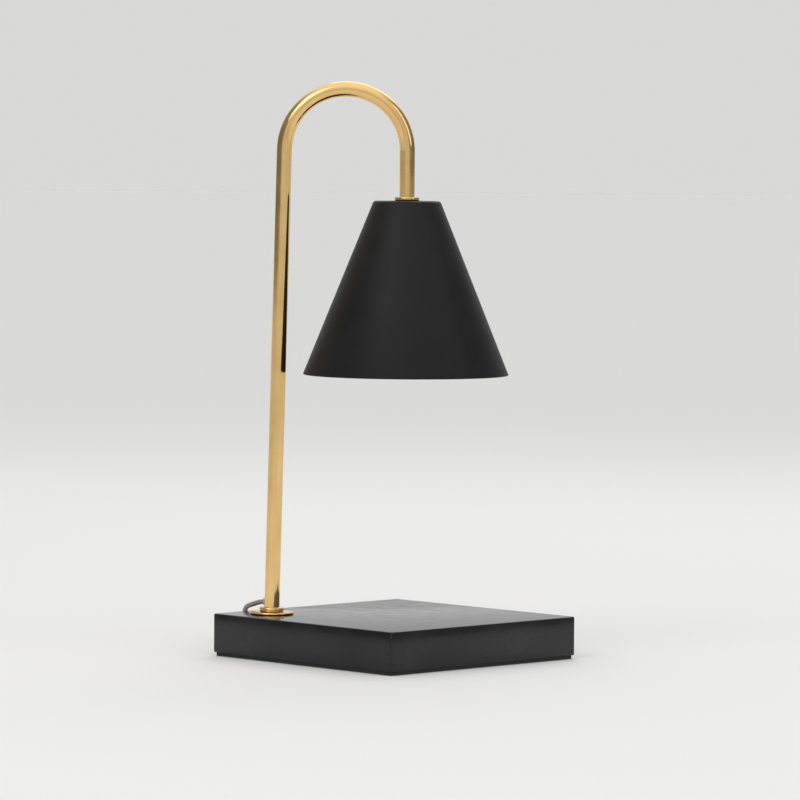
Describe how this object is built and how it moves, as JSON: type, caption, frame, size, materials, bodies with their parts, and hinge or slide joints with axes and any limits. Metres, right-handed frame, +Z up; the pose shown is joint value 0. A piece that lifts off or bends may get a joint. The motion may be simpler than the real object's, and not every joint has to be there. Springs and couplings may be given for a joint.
{
  "type": "candle warmer lamp",
  "caption": "Candle warmer lamp: square stone base, bent tube pole with an arch, spun cone shade over a twist-lock reflector bulb, clear flex with an in-line rotary dimmer and plug.",
  "frame": {"origin": "centre of the foam pad's underside, on the table", "axes": "+Z up; +X from the pole towards the shade along the base's diagonal; +Y to the back, where the flex lies"},
  "size_m": [0.1923, 0.2438, 0.3022],
  "materials": {
    "stone": "polished black stone",
    "foam": "matte foam",
    "gold": "polished gold plate",
    "zinc": "zinc plate",
    "clear_rubber": "translucent",
    "clear_flex": "clear two-core flex",
    "shade_black": "matte black powder coat",
    "porcelain": "unglazed white porcelain",
    "contact_brass": "nickel-bright brass",
    "lead_sleeve": "glass-fibre sleeve",
    "reflector_glass": "mirrored glass",
    "clear_glass": "clear",
    "black_rubber": "matte",
    "black_plastic": "fine texture",
    "board": "circuit board"
  },
  "bodies": {
    "lamp": {"base_stone": "stone", "base_pad": "foam", "pole": "gold", "pole_flange": "gold", "pole_hub": "gold", "foot_washer": "zinc", "foot_spring_washer": "zinc", "foot_nut": "zinc", "cord_grommet": "clear_rubber", "flex_in_pole": "clear_flex", "shade": "shade_black", "shade_collar": "gold", "shade_washer": "zinc", "shade_nut": "zinc", "holder_bracket": "zinc", "holder_screws": "zinc", "lamp_holder": "porcelain", "holder_contacts": "contact_brass", "holder_leads": "lead_sleeve", "cord_lead": "clear_flex", "cord_link": "clear_flex", "cord_coil": "clear_flex", "cord_tail": "clear_flex", "dimmer_cord_tails": "clear_flex", "dimmer_strain_reliefs": "black_rubber", "dimmer_lower_shell": "black_plastic", "dimmer_upper_shell": "black_plastic", "dimmer_spindle": "black_plastic", "dimmer_board": "board", "dimmer_screws": "zinc", "plug_body": "black_plastic", "plug_blades": "contact_brass", "plug_strain_relief": "black_rubber"},
    "bulb": {"bulb_base": "porcelain", "bulb_pins": "contact_brass", "bulb_reflector": "reflector_glass", "bulb_front_glass": "clear_glass", "bulb_burner": "clear_glass"},
    "wheel": {"dimmer_wheel": "black_plastic"}
  },
  "joints": [
    {"name": "bulb_twist", "type": "hinge", "parent": "lamp", "child": "bulb", "pos_m": [0.0051, 0, 0.2], "axis": [0, 0, 1], "range_deg": [-25, 0]},
    {"name": "dimmer_turn", "type": "hinge", "parent": "lamp", "child": "wheel", "pos_m": [0.06364, 0.07566, 0.0135], "axis": [0, 0, 1], "range_deg": [0, 270]}
  ]
}
